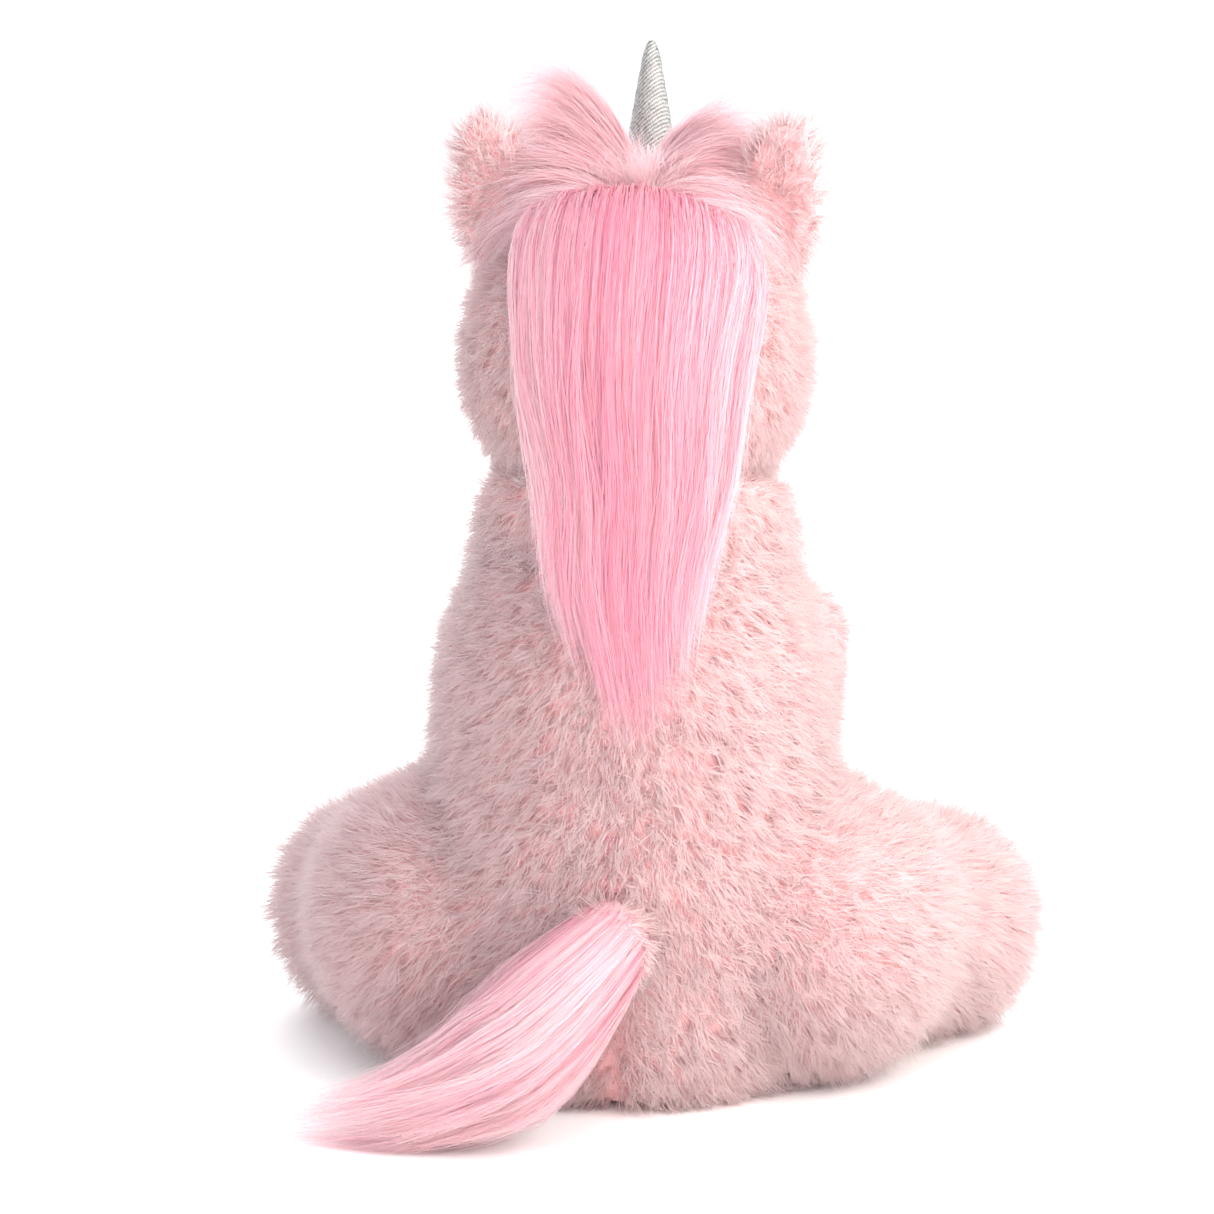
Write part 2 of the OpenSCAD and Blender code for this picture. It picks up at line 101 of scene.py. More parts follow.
camera_data = bpy.data.cameras.new("camera")
camera_data.lens = camera_data.sensor_width * VIEW_DISTANCE / VIEW_WIDTH
camera = add("camera", camera_data)
aim(camera, VIEW_CENTRE, toward(VIEW_AZIMUTH, VIEW_ELEVATION), VIEW_DISTANCE)
bpy.context.scene.camera = camera


def lamp(name, azimuth, elevation, distance, size, power, colour):
    """A square soft lamp that points at the middle of the toy."""
    data = bpy.data.lights.new(name, "AREA")
    data.size = size
    data.energy = power
    data.color = colour
    aim(add(name, data), VIEW_CENTRE, toward(azimuth, elevation), distance)


lamp("key_lamp", 240, 30, 1.3, 0.8, 16, (1.0, 0.93, 0.87))
lamp("rear_lamp", 190, 30, 1.6, 1.2, 10, (0.97, 0.97, 1.0))
lamp("front_lamp", 15, 30, 1.8, 1.4, 16, (1.0, 0.98, 0.96))

world = bpy.data.worlds.new("studio")
world.use_nodes = True
world.node_tree.nodes["Background"].inputs["Color"].default_value = (0.93, 0.95, 1.0, 1)
world.node_tree.nodes["Background"].inputs["Strength"].default_value = 1.14
bpy.context.scene.world = world
bpy.context.scene.view_settings.view_transform = "Standard"


class Shade:
    """One socket of a material, which sums and products can be written with."""

    def __init__(self, tree, socket=None):
        self.tree = tree
        self.socket = socket

    def node(self, kind, inputs, out=0, stops=None, **settings):
        """A new node with its settings, ramp stops and input values or links."""
        made = self.tree.nodes.new("ShaderNode" + kind)
        for name, value in settings.items():
            setattr(made, name, value)
        if stops:
            for spare in list(made.color_ramp.elements)[1:]:
                made.color_ramp.elements.remove(spare)
            made.color_ramp.elements[0].position = stops[0][0]
            made.color_ramp.elements[0].color = (*stops[0][1], 1)
            for place, colour in stops[1:]:
                made.color_ramp.elements.new(place).color = (*colour, 1)
        for name, value in inputs.items():
            if isinstance(value, Shade):
                self.tree.links.new(value.socket, made.inputs[name])
            else:
                made.inputs[name].default_value = value
        return Shade(self.tree, made.outputs[out])

    def maths(self, operation, first, second):
        return self.node("Math", {0: first, 1: second}, operation=operation)

    def __add__(self, other):
        return self.maths("ADD", self, other)

    def __radd__(self, other):
        return self.maths("ADD", other, self)

    def __sub__(self, other):
        return self.maths("SUBTRACT", self, other)

    def __mul__(self, other):
        return self.maths("MULTIPLY", self, other)

    def mix(self, first, second):
        """first where this value is 0, and second where it is 1."""
        pair = [value if isinstance(value, Shade) else (*value, 1) for value in (first, second)]
        return self.node("Mix", {0: self, 6: pair[0], 7: pair[1]}, out=2, data_type="RGBA")

    def bump(self, strength, distance):
        return self.node("Bump", {"Height": self, "Strength": strength, "Distance": distance})


def material(name, finish, constants):
    """A node material: finish(start) gives the varying sockets, and constants the fixed ones."""
    made = bpy.data.materials.new(name)
    made.use_nodes = True
    shader = made.node_tree.nodes["Principled BSDF"]
    for socket, value in constants.items():
        shader.inputs[socket].default_value = value
    for socket, value in finish(Shade(made.node_tree)).items():
        made.node_tree.links.new(value.socket, shader.inputs[socket])
    return made


def place(start):
    """Where a point lies on the object, in metres."""
    return start.node("TexCoord", {}, out=3)


def noise(start, scale, detail=2.0, roughness=0.5):
    return start.node("TexNoise", {"Vector": place(start), "Scale": scale, "Detail": detail,
                                   "Roughness": roughness})


def floor_finish(start):
    grain = noise(start, 40)
    return {"Base Color": grain.mix((0.95, 0.95, 0.94), (0.97, 0.97, 0.96)),
            "Roughness": 0.6 + grain * 0.1}


sheet = bmesh.new()
bmesh.ops.create_grid(sheet, x_segments=4, y_segments=4, size=FLOOR_SIZE / 2)
floor_data = bpy.data.meshes.new("floor")
sheet.to_mesh(floor_data)
floor_data.materials.append(material("paper_floor", floor_finish, {}))
add("floor", floor_data)

# --- Body cover -----------------------------------------------------------------------------------
# The pear-shaped body is four panels of long-pile plush, sewn inside out and turned: two back
# panels that meet in the centre back seam, a belly panel and a flat seat. Fibre filling swells it.

WELD = 0.01 * MM
SWELL_STEPS = 20
SWELL_PRESSURE = 4.0
FLOOR_GAP = 0.2 * MM
FILLING_GAP = 0.8 * MM
FILLING_REACH = 5 * MM
BACKING_COLOUR = (0.80, 0.42, 0.43)


def search_tree(mesh):
    """The mesh's faces, ready to be searched for the nearest one."""
    return BVHTree.FromPolygons([v.co for v in mesh.vertices], [p.vertices for p in mesh.polygons])


def coordinates(mesh):
    """The mesh's points as rows."""
    flat = np.empty(len(mesh.vertices) * 3)
    mesh.vertices.foreach_get("co", flat)
    return flat.reshape(-1, 3)


def settled(thing):
    """The object's mesh with its modifiers applied."""
    graph = bpy.context.evaluated_depsgraph_get()
    made = bpy.data.meshes.new_from_object(thing.evaluated_get(graph))
    thing.modifiers.clear()
    thing.data = made
    return made


def largest_skin(mesh):
    """Keeps the outer shell of a remeshed solid and drops the bubbles inside it."""
    shape = bmesh.new()
    shape.from_mesh(mesh)
    left = set(shape.verts)
    shells = []
    while left:
        shell = set()
        edge = [left.pop()]
        while edge:
            point = edge.pop()
            shell.add(point)
            near = [line.other_vert(point) for line in point.link_edges]
            fresh = [other for other in near if other in left]
            left.difference_update(fresh)
            edge.extend(fresh)
        shells.append(shell)
    outer = max(shells, key=len)
    bmesh.ops.delete(shape, geom=[v for v in shape.verts if v not in outer], context="VERTS")
    shape.to_mesh(mesh)
    shape.free()


def smoothed(mesh, rounds):
    shape = bmesh.new()
    shape.from_mesh(mesh)
    for _ in range(rounds):
        bmesh.ops.smooth_vert(shape, verts=shape.verts, factor=0.5, use_axis_x=True, use_axis_y=True,
                              use_axis_z=True)
    shape.to_mesh(mesh)
    shape.free()


def swollen(cover, limit):
    """Blows the cover up from inside as filling does, and lets no point move further than limit."""
    before = coordinates(cover.data)
    cloth = cover.modifiers.new("filling", "CLOTH")
    cloth.settings.use_pressure = True
    cloth.settings.uniform_pressure_force = SWELL_PRESSURE
    cloth.settings.effector_weights.gravity = 0
    cloth.point_cache.frame_end = SWELL_STEPS
    for step in range(1, SWELL_STEPS + 1):
        bpy.context.scene.frame_set(step)
    settled(cover)
    move = coordinates(cover.data) - before
    far = np.linalg.norm(move, axis=1, keepdims=True)
    held = before + move * np.minimum(1, limit / np.maximum(far, TINY))
    cover.data.vertices.foreach_set("co", held.ravel())
    bpy.context.scene.frame_set(1)


def over_filling(points, nodes):
    """Moves points of a cover that lie in the filling, or nearly touch it, to just outside it."""
    for node in nodes:
        tree = search_tree(frame["nodes"][node].data)
        for index, point in enumerate(points):
            found, normal, _, _ = tree.find_nearest(Vector(point), FILLING_REACH)
            if found is not None and (Vector(point) - found).dot(normal) < FILLING_GAP:
                points[index] = found + normal * FILLING_GAP
    return points


def stuffed(name, nodes, voxel, rounds, limit):
    """A soft closed cover over some CAD solids: wrapped, smoothed and filled until it is round."""
    shape = bmesh.new()
    for node in nodes:
        shape.from_mesh(frame["nodes"][node].data)
    bmesh.ops.remove_doubles(shape, verts=shape.verts, dist=WELD)
    mesh = bpy.data.meshes.new(name)
    shape.to_mesh(mesh)
    shape.free()
    cover = add(name, mesh)
    wrap = cover.modifiers.new("wrap", "REMESH")
    wrap.mode = "VOXEL"
    wrap.voxel_size = voxel
    largest_skin(settled(cover))
    smoothed(cover.data, rounds)
    if limit:
        swollen(cover, limit)
    finer = cover.modifiers.new("finer", "SUBSURF")
    finer.levels = 1
    finer.render_levels = 1
    points = over_filling(coordinates(settled(cover)), [node for node in nodes if "stuffing" in node])
    points[:, 2] = np.maximum(points[:, 2], FLOOR_GAP)
    cover.data.vertices.foreach_set("co", points.ravel())
    cover.data.polygons.foreach_set("use_smooth", np.ones(len(cover.data.polygons), bool))
    return cover


def backing_finish(start):
    knit = noise(start, 1800, 3)
    patches = noise(start, 60)
    return {"Base Color": patches.mix(BACKING_COLOUR, (0.86, 0.50, 0.50)),
            "Roughness": 0.8 + knit * 0.15,
            "Normal": knit.bump(0.5, 0.4 * MM)}


backing = material("plush_backing", backing_finish, {"Sheen Weight": 0.4})


def finished(cover, body, replaced, finish):
    """Gives a piece its material, the body it moves with and the CAD nodes it stands for."""
    cover.data.materials.clear()
    cover.data.materials.append(finish)
    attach(cover, body)
    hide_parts(*replaced)


SIDES = ("left", "right")
body_nodes = ["left_back_panel", "right_back_panel", "belly_panel", "seat_panel"]
leg_nodes = {side + "_" + end: [side + "_" + end + "_leg_skin", side + "_" + end + "_leg_stuffing"]
             for side in SIDES for end in ("front", "hind")}

# One soft form runs through the body, the neck and the haunches, and is cut where they are sewn.
trunk = stuffed("trunk", [*body_nodes, "torso_stuffing", "neck_skin", "neck_stuffing",
                          *leg_nodes["left_hind"], *leg_nodes["right_hind"]],
                voxel=4 * MM, rounds=7, limit=1.5 * MM)

NECK_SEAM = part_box("neck_skin")[0].z
HIP_SEAM = 36.3 * MM
HIP_R = 42.5 * MM
_, HIP_BACK, HIP_HEIGHT = joint_place("left_hip")


def in_haunch(point):
    """True in the round pocket that a haunch sits in, and in front of it."""
    back, up = point.y - HIP_BACK, point.z - HIP_HEIGHT
    return abs(point.x) > HIP_SEAM and (math.hypot(back, up) < HIP_R or (back < 0 and up < HIP_R))


def cut_from_trunk(name, belongs):
    """The part of the trunk's form whose faces belong to one piece, closed along its seams.

    The closing faces lie inside the toy and carry no pile, so a layer named cap marks them."""
    shape = bmesh.new()
    shape.from_mesh(trunk.data)
    cap = shape.faces.layers.int.new("cap")
    spare = [face for face in shape.faces if not belongs(face.calc_center_median())]
    bmesh.ops.delete(shape, geom=spare, context="FACES")
    rim = [edge for edge in shape.edges if edge.is_boundary]
    closing = bmesh.ops.holes_fill(shape, edges=rim, sides=0)["faces"]
    for face in bmesh.ops.triangulate(shape, faces=closing)["faces"]:
        face[cap] = 1
    mesh = bpy.data.meshes.new(name)
    shape.to_mesh(mesh)
    shape.free()
    mesh.polygons.foreach_set("use_smooth", np.ones(len(mesh.polygons), bool))
    return add(name, mesh)


body_cover = cut_from_trunk("body_cover", lambda p: p.z < NECK_SEAM and not in_haunch(p))
finished(body_cover, "torso", body_nodes, backing)
neck_cover = cut_from_trunk("neck_cover", lambda p: p.z > NECK_SEAM)
finished(neck_cover, "neck", ["neck_skin"], backing)
legs = {"left_hind": cut_from_trunk("left_hind_leg_cover", lambda p: p.x > 0 and in_haunch(p)),
        "right_hind": cut_from_trunk("right_hind_leg_cover", lambda p: p.x < 0 and in_haunch(p))}
for side in SIDES:
    legs[side + "_front"] = stuffed(side + "_front_leg_cover", leg_nodes[side + "_front"],
                                    voxel=3.5 * MM, rounds=2, limit=1 * MM)
for leg, cover in legs.items():
    finished(cover, leg + "_leg", leg_nodes[leg][:1], backing)
bpy.data.objects.remove(trunk)

head_nodes = ["left_head_panel", "right_head_panel", "muzzle_skin"]
head_cover = stuffed("head_cover", [*head_nodes, "head_stuffing"],
                     voxel=3.5 * MM, rounds=4, limit=1.5 * MM)
finished(head_cover, "head", head_nodes, backing)

ears = {}
for side in SIDES:
    ears[side] = stuffed(side + "_ear_cover", [side + "_ear_back"], voxel=1.5 * MM, rounds=1, limit=0)
    finished(ears[side], side + "_ear", [side + "_ear_back"], backing)

# --- Pile -----------------------------------------------------------------------------------------
# The long, soft pile of the plush. It stands in small tufts that lean downwards and outwards from
# the seams. Its colour is deeper pink at the roots than at the tips, a painted shade for the shade
# that falls between the fibres. Each fibre is a thin tapering blade.

FIBRE_RINGS = 3
FIBRE_WIDTH = 0.27 * MM
FIBRE_TAPER = (1.0, 0.85, 0.0)
FIBRE_ROLL = 0.8
FIBRE_FLOOR = 0.4 * MM
ROOT_DEPTH = 0.8 * MM
ROOT_FLOOR = 0.3 * MM
ROOT_RISE = 2 * MM
ROOT_LEAN = 0.45
TIP_LEAN = 0.8
TIP_RISE = 0.55
TUFT_SIZE = 8
TUFT_GATHER = 0.4
TUFT_LENGTHS = (0.78, 1.12)
FIBRE_LENGTHS = (0.75, 1.08)
# How far tufts and fibres stray from the way they are brushed, and how much tips do so beyond roots
TUFT_STRAY = 0.30
FIBRE_STRAY = 0.16
TIP_STRAY = 1.3
FACING_STRAY = 0.3
# Pile is shorter where it has less room than this beside another cover
ROOM_WANTED = 8 * MM
LEAST_SHARE = 0.35
ROOM_HEIGHT = 1.5 * MM
REACH = 12 * MM
FAR_AWAY = 1.0
TEST_WAY = Vector((0.31, 0.17, 0.93)).normalized()
TONE_WIDTH = 0.012
TONE_LIMITS = (0.03, 0.97)
FIBRE_TONE = 0.09
TUFT_TONE = 0.05
# Deep pink of dark fibres, and also the painted shade at the roots and along the parted seam
DEEP_PINK_AND_ROOT_SHADE = (0.96, 0.64, 0.65)
MID_PINK = (0.98, 0.77, 0.77)
PALE_PINK = (1.0, 0.86, 0.85)
GLOW = 0.5
BELLY_SEAM = -28 * MM
SEAM_TOP = 80 * MM
SEAM_FADE = 20 * MM
MUZZLE_FRONT = -47 * MM
MUZZLE_PILE = 3.5 * MM
CROWN_LOW = 238 * MM
FOOT_START = 70 * MM
HEAD_MIDDLE = joint_place("head_nod")


def unit(rows):
    return rows / np.maximum(np.linalg.norm(rows, axis=-1, keepdims=True), TINY)


def template(rings):
    """One flat fibre: a strip that ends in a point. Gives its faces and each point's ring and side."""
    shape = bmesh.new()
    bmesh.ops.create_grid(shape, x_segments=1, y_segments=rings - 1, size=1)
    tip = [point for point in shape.verts if point.co.y > 0.999]
    bmesh.ops.pointmerge(shape, verts=tip, merge_co=(0, 1, 0))
    shape.verts.index_update()
    ring = np.array([round((point.co.y + 1) / 2 * (rings - 1)) for point in shape.verts])
    side = np.array([round(point.co.x) for point in shape.verts])
    faces = [[point.index for point in face.verts] for face in shape.faces]
    shape.free()
    return faces, ring, side


def fibres(name, spine, across, normals, tone):
    """A piece made of flat tapering fibres, one for each row of spine, (fibres, rings, 3).

    The map named OFBake holds a fibre's tone and how far a point is from its root."""
    count, rings = spine.shape[:2]
    faces, ring, side = template(rings)
    front = np.cross(across[:, 0], spine[:, -1] - spine[:, 0])
    turned = (front * normals[:, 0]).sum(1) < 0
    across = np.where(turned[:, None, None], -across, across)
    points = spine[:, ring] + across[:, ring] * side[None, :, None]
    corners = np.concatenate(faces)
    sizes = np.array([len(face) for face in faces])
    starts = np.concatenate([[0], np.cumsum(np.tile(sizes, count))[:-1]])
    loops = (corners[None] + (np.arange(count) * len(ring))[:, None]).ravel()
    mesh = bpy.data.meshes.new(name)
    mesh.vertices.add(points.shape[0] * points.shape[1])
    mesh.vertices.foreach_set("co", points.ravel())
    mesh.loops.add(len(loops))
    mesh.loops.foreach_set("vertex_index", loops)
    mesh.polygons.add(len(starts))
    mesh.polygons.foreach_set("loop_start", starts)
    mesh.update(calc_edges=True)
    mesh.polygons.foreach_set("use_smooth", np.ones(len(starts), bool))
    along = np.broadcast_to(ring[corners] / (rings - 1), (count, len(corners)))
    shade = np.clip(tone, *TONE_LIMITS)[:, None] + side[corners][None] * TONE_WIDTH
    mesh.uv_layers.new(name="OFBake").data.foreach_set("uv", np.stack([shade, along], axis=-1).ravel())
    mesh.normals_split_custom_set_from_vertices(unit(normals[:, ring]).reshape(-1, 3))
    return add(name, mesh)


def roots(cover, density, rng):
    """Evenly scattered points on a cover, with the cover's normals there."""
    mesh = cover.data
    mesh.calc_loop_triangles()
    corners = np.empty(len(mesh.loop_triangles) * 3, int)
    mesh.loop_triangles.foreach_get("vertices", corners)
    normals = np.empty(len(mesh.vertices) * 3)
    mesh.vertices.foreach_get("normal", normals)
    points = coordinates(mesh)[corners].reshape(-1, 3, 3)
    normals = normals.reshape(-1, 3)[corners].reshape(-1, 3, 3)
    area = np.linalg.norm(np.cross(points[:, 1] - points[:, 0], points[:, 2] - points[:, 0]), axis=1) / 2
    if "cap" in mesh.attributes:
        closing = np.empty(len(mesh.polygons), int)
        mesh.attributes["cap"].data.foreach_get("value", closing)
        owner = np.empty(len(area), int)
        mesh.loop_triangles.foreach_get("polygon_index", owner)
        area[closing[owner] > 0] = 0
    count = int(area.sum() * density / MM ** 2)
    face = rng.choice(len(area), count, p=area / area.sum())
    u, v = rng.random((2, count))
    flip = u + v > 1
    u, v = np.where(flip, 1 - u, u), np.where(flip, 1 - v, v)
    share = np.stack([1 - u - v, u, v], axis=1)[:, :, None]
    return (points[face] * share).sum(1), unit((normals[face] * share).sum(1))


def is_inside(tree, point):
    """True when a line from the point crosses the closed cover an odd number of times."""
    crossings = 0
    found = tree.ray_cast(point, TEST_WAY)[0]
    while found is not None:
        crossings += 1
        found = tree.ray_cast(found + TEST_WAY * WELD, TEST_WAY)[0]
    return crossings % 2 == 1


def clearance(points, covers):
    """How far outside the other covers each point lies. It is negative inside one."""
    least = np.full(len(points), FAR_AWAY)
    for cover in covers:
        tree = search_tree(cover.data)
        extent = coordinates(cover.data)
        near = ((points > extent.min(0) - REACH) & (points < extent.max(0) + REACH)).all(1)
        for index in np.flatnonzero(near):
            point = Vector(points[index])
            distance = tree.find_nearest(point)[3]
            if is_inside(tree, point):
                distance = -distance
            least[index] = min(least[index], distance)
    return least


def pile(name, cover, body, comb, length, seed, density=2.6, others=(), joined=(), part=None, shade=None):
    """The pile on a cover, or on the part of it that part(points) picks.

    comb(points) gives the way it is brushed, and length how long it is, in metres. density is the
    number of fibres to a square millimetre, and shade(points) what is added to their tone. The pile
    is shorter where one of others is close, and there is none inside those or inside the covers
    joined to it."""
    rng = np.random.default_rng(seed)
    points, normals = roots(cover, density, rng)
    if part is not None:
        chosen = part(points)
        points, normals = points[chosen], normals[chosen]
    raised = points + normals * ROOM_HEIGHT
    room = clearance(raised, others)
    chosen = np.minimum(room, clearance(raised, joined)) > 0
    chosen &= points[:, 2] + normals[:, 2] * ROOT_RISE > ROOT_FLOOR
    points, normals, room = points[chosen], normals[chosen], room[chosen]
    count = len(points)
    size = length(points) if callable(length) else np.full(count, length)
    size = size * np.clip(LEAST_SHARE + room / ROOM_WANTED, LEAST_SHARE, 1)

    middles = rng.choice(count, count // TUFT_SIZE, replace=False)
    tree = KDTree(len(middles))
    for index, middle in enumerate(middles):
        tree.insert(points[middle], index)
    tree.balance()
    member = np.array([tree.find(point)[1] for point in points])
    centre = points[middles][member]
    tuft_way = rng.normal(0, TUFT_STRAY, (len(middles), 3))[member]
    tuft_size = rng.uniform(*TUFT_LENGTHS, len(middles))[member]

    brushed = comb(points)
    brushed = unit(brushed - normals * (brushed * normals).sum(1, keepdims=True))
    wander = tuft_way + rng.normal(0, FIBRE_STRAY, (count, 3))
    first = unit(normals + brushed * ROOT_LEAN + wander)
    last = unit(normals * TIP_RISE + brushed * TIP_LEAN + wander * TIP_STRAY)
    size = size * tuft_size * rng.uniform(*FIBRE_LENGTHS, count)

    t = np.linspace(0, 1, FIBRE_RINGS)[None, :, None]
    spine = points[:, None] - normals[:, None] * ROOT_DEPTH + (
        first[:, None] * t + (last - first)[:, None] * t ** 2 / 2) * size[:, None, None]
    spine = spine + (centre - points)[:, None] * TUFT_GATHER * t ** 1.5
    spine[:, :, 2] = np.maximum(spine[:, :, 2], FIBRE_FLOOR)

    roll = unit(np.cross(first, normals + rng.normal(0, FIBRE_ROLL, (count, 3))))
    taper = np.array(FIBRE_TAPER)[None, :, None]
    across = roll[:, None] * taper * FIBRE_WIDTH / 2
    tone = 0.5 + rng.normal(0, FIBRE_TONE, count) + rng.normal(0, TUFT_TONE, len(middles))[member]
    if shade is not None:
        tone = tone + shade(points)
    facing = unit(normals + wander * FACING_STRAY)
    piece = fibres(name, spine, across, np.repeat(facing[:, None], FIBRE_RINGS, axis=1), tone)
    piece.data.materials.append(pile_material)
    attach(piece, body)


def pile_finish(start):
    """Deep pink at the root, a painted shade for the shade between the fibres, and in dark fibres,
    and nearly white pink at the tip of pale ones.
    """
    chart = start.node("UVMap", {}, uv_map="OFBake")
    tone = start.node("SeparateXYZ", {"Vector": chart})
    along = start.node("SeparateXYZ", {"Vector": chart}, out=1)
    # Painted shade: the colour deepens towards each fibre's root, for the shade among the fibres; tone
    # adds each fibre's own lightness
    depth = along * 0.85 + tone * 0.5 - 0.2
    return {"Base Color": depth.node("ValToRGB", {0: depth},
                                     stops=[(0.0, DEEP_PINK_AND_ROOT_SHADE), (0.4, MID_PINK), (0.85, PALE_PINK)])}


def glowing(made):
    """The fibre material, made to let light through as fine hair does."""
    tree = made.node_tree
    shader = tree.nodes["Principled BSDF"]
    behind = tree.nodes.new("ShaderNodeBsdfTranslucent")
    both = tree.nodes.new("ShaderNodeMixShader")
    both.inputs["Fac"].default_value = GLOW
    tree.links.new(shader.inputs["Base Color"].links[0].from_socket, behind.inputs["Color"])
    tree.links.new(shader.outputs["BSDF"], both.inputs[1])
    tree.links.new(behind.outputs["BSDF"], both.inputs[2])
    tree.links.new(both.outputs["Shader"], tree.nodes["Material Output"].inputs["Surface"])
    return made


pile_material = glowing(material("plush_pile", pile_finish, {"Roughness": 0.65, "Sheen Weight": 0.3,
                                                             "Sheen Roughness": 0.4}))


def at_seam(points, width):
    """1 on the lower half of the centre back seam, and less further from it."""
    lower = np.clip((SEAM_TOP - points[:, 2]) / SEAM_FADE, 0, 1)
    return lower * np.exp(-(points[:, 0] / width) ** 2) * (points[:, 1] > 0)


def downward(points):
    """Brushed down and to the sides, and parted along the centre back seam."""
    aside = points[:, 0] / (40 * MM) + np.sign(points[:, 0]) * 1.6 * at_seam(points, 7 * MM)
    return np.stack([aside, np.sign(points[:, 1]) * 0.15, np.full(len(points), -1.0)], axis=1)


def seam_groove_shade(points):
    """Painted shade: fibres along the parted centre back seam are darker, for the shade in its groove."""
    return -0.5 * at_seam(points, 4 * MM)


def back_length(points):
    """Shorter where it parts along the seam."""
    return (12 - 6 * at_seam(points, 3 * MM)) * MM


def neck_length(points):
    """Shorter under the head, so that it leaves a hollow there."""
    return np.interp(points[:, 2], (NECK_SEAM, NECK_SEAM + 20 * MM), (12 * MM, 8 * MM))


def steady(*way):
    """A comb that brushes every point the same way."""
    return lambda points: np.broadcast_to(way, points.shape)


fronts = [legs["left_front"], legs["right_front"]]
hinds = [legs["left_hind"], legs["right_hind"]]
pile("left_back_pile", body_cover, "torso", downward, back_length, others=fronts, seed=1,
     shade=seam_groove_shade, part=lambda p: (p[:, 0] > 0) & (p[:, 1] > BELLY_SEAM))
pile("right_back_pile", body_cover, "torso", downward, back_length, others=fronts, seed=2,
     shade=seam_groove_shade, part=lambda p: (p[:, 0] <= 0) & (p[:, 1] > BELLY_SEAM))
pile("belly_pile", body_cover, "torso", downward, 9 * MM, density=2.3, others=[*fronts, *hinds], seed=3,
     part=lambda p: p[:, 1] <= BELLY_SEAM)
pile("neck_pile", neck_cover, "neck", downward, neck_length, joined=[head_cover], seed=4)


def foot_length(points):
    """Longer towards the end of the foot."""
    return (12 + 1.5 * np.clip((np.abs(points[:, 0]) - FOOT_START) / (30 * MM), 0, 1)) * MM


def from_face(points):
    """Brushed back and down from the tip of the nose."""
    away = unit(points - HEAD_MIDDLE)
    return np.stack([away[:, 0] * 0.6, np.full(len(points), 0.55), np.full(len(points), -0.75)], axis=1)


def head_length(points):
    """Short on the muzzle, long on the cheeks and the back of the head, and fuzzy on the crown."""
    back = np.clip((points[:, 1] - MUZZLE_FRONT) / (25 * MM), 0, 1)
    crown = np.clip((points[:, 2] - CROWN_LOW) / (12 * MM), 0, 1)
    return MUZZLE_PILE + (6 * back + 4 * crown) * MM


def crown_shade(points):
    """The fuzz on the crown is the palest."""
    return 0.4 * np.clip((points[:, 2] - CROWN_LOW) / (8 * MM), 0, 1)


head_neighbours = [neck_cover, *ears.values()]
pile("left_head_pile", head_cover, "head", from_face, head_length, joined=head_neighbours, seed=5,
     shade=crown_shade, part=lambda p: (p[:, 0] > 0) & (p[:, 1] > MUZZLE_FRONT))
pile("right_head_pile", head_cover, "head", from_face, head_length, joined=head_neighbours, seed=6,
     shade=crown_shade, part=lambda p: (p[:, 0] <= 0) & (p[:, 1] > MUZZLE_FRONT))
pile("muzzle_pile", head_cover, "head", from_face, MUZZLE_PILE, density=3.4, seed=7,
     part=lambda p: p[:, 1] <= MUZZLE_FRONT)

for number, side in enumerate(SIDES):
    turn = 1 if side == "left" else -1
    front = legs[side + "_front"]
    hind = legs[side + "_hind"]
    pile(side + "_front_leg_pile", front, side + "_front_leg", steady(0.2 * turn, -0.4, -0.9), 8 * MM,
         density=2.3, others=[hind], joined=[body_cover], seed=10 + number)
    pile(side + "_hind_leg_pile", hind, side + "_hind_leg", steady(0.5 * turn, -0.55, -0.6), foot_length,
         others=[front], seed=20 + number)
    ear_middle = coordinates(ears[side].data).mean(0)
    pile(side + "_ear_pile", ears[side], side + "_ear",
         lambda p: unit(p - ear_middle) + (0.3 * turn, 0.1, 0.25),
         10 * MM, joined=[head_cover], seed=30 + number)

# --- Mane -----------------------------------------------------------------------------------------
# Long silky fibre, sewn in along the middle of the head and the nape. It spreads from a whorl on the
# crown: two tufts sweep forward over the ears, and the rest falls down the back to a thin end.

HAIR_WIDTH = 0.26 * MM
HAIR_TAPER = 0.75
HAIR_ROLL = 0.5
HAIR_FLOOR = 0.5 * MM
HAIR_LENGTHS = (0.7, 1.0)
HAIR_TONE = 0.14
HAIR_FACING = 0.12
LOCK_TONE = 0.08
LOCK_DRIFT = 1.3
# A piece is thinner than it is wide, so its depth counts less when fibres join the nearest lock
LOCK_DEPTH = 0.5
# How fast locks and single fibres wave sideways, and how fast both wave up and down
LOCK_WAVE = 7
HAIR_WAVE = 11
LIFT_WAVE = 6
DEPTH_STEP = 0.05
EDGE_LEVEL = 0.4
MANE_DEEP = (0.92, 0.40, 0.52)
MANE_MID = (0.96, 0.53, 0.63)
MANE_PALE = (1.0, 0.81, 0.83)
HEAD_R = 47 * MM
QUARTER_TURN = HEAD_R * math.pi / 2
WHORL = 6 * MM
NAPE_END = 70 * MM
TIP_HEIGHT = 95 * MM
SIDES_SHORTER = 32 * MM
TURN_OUT = 36 * MM
FALL_GAP = 2 * MM
FALL_LIFT = 4 * MM
FALL_THICKNESS = 7 * MM
FALL_THINNING = 0.35
LIFT_RUN = 22 * MM
# Height of a level of the fall, with the distance of the back from the head's upright axis there
BACK_LEVELS = [(90, 60), (116, 58), (152, 50), (185, 48), (207, 47)]
# Height of a level of the fall, with its middle and its half width
FALL_LEVELS = [(96, -11, 7), (121, -8, 15), (149, -4, 22), (177, -6, 26), (205, -4, 31), (233, -5, 35),
               (260, -4, 36)]
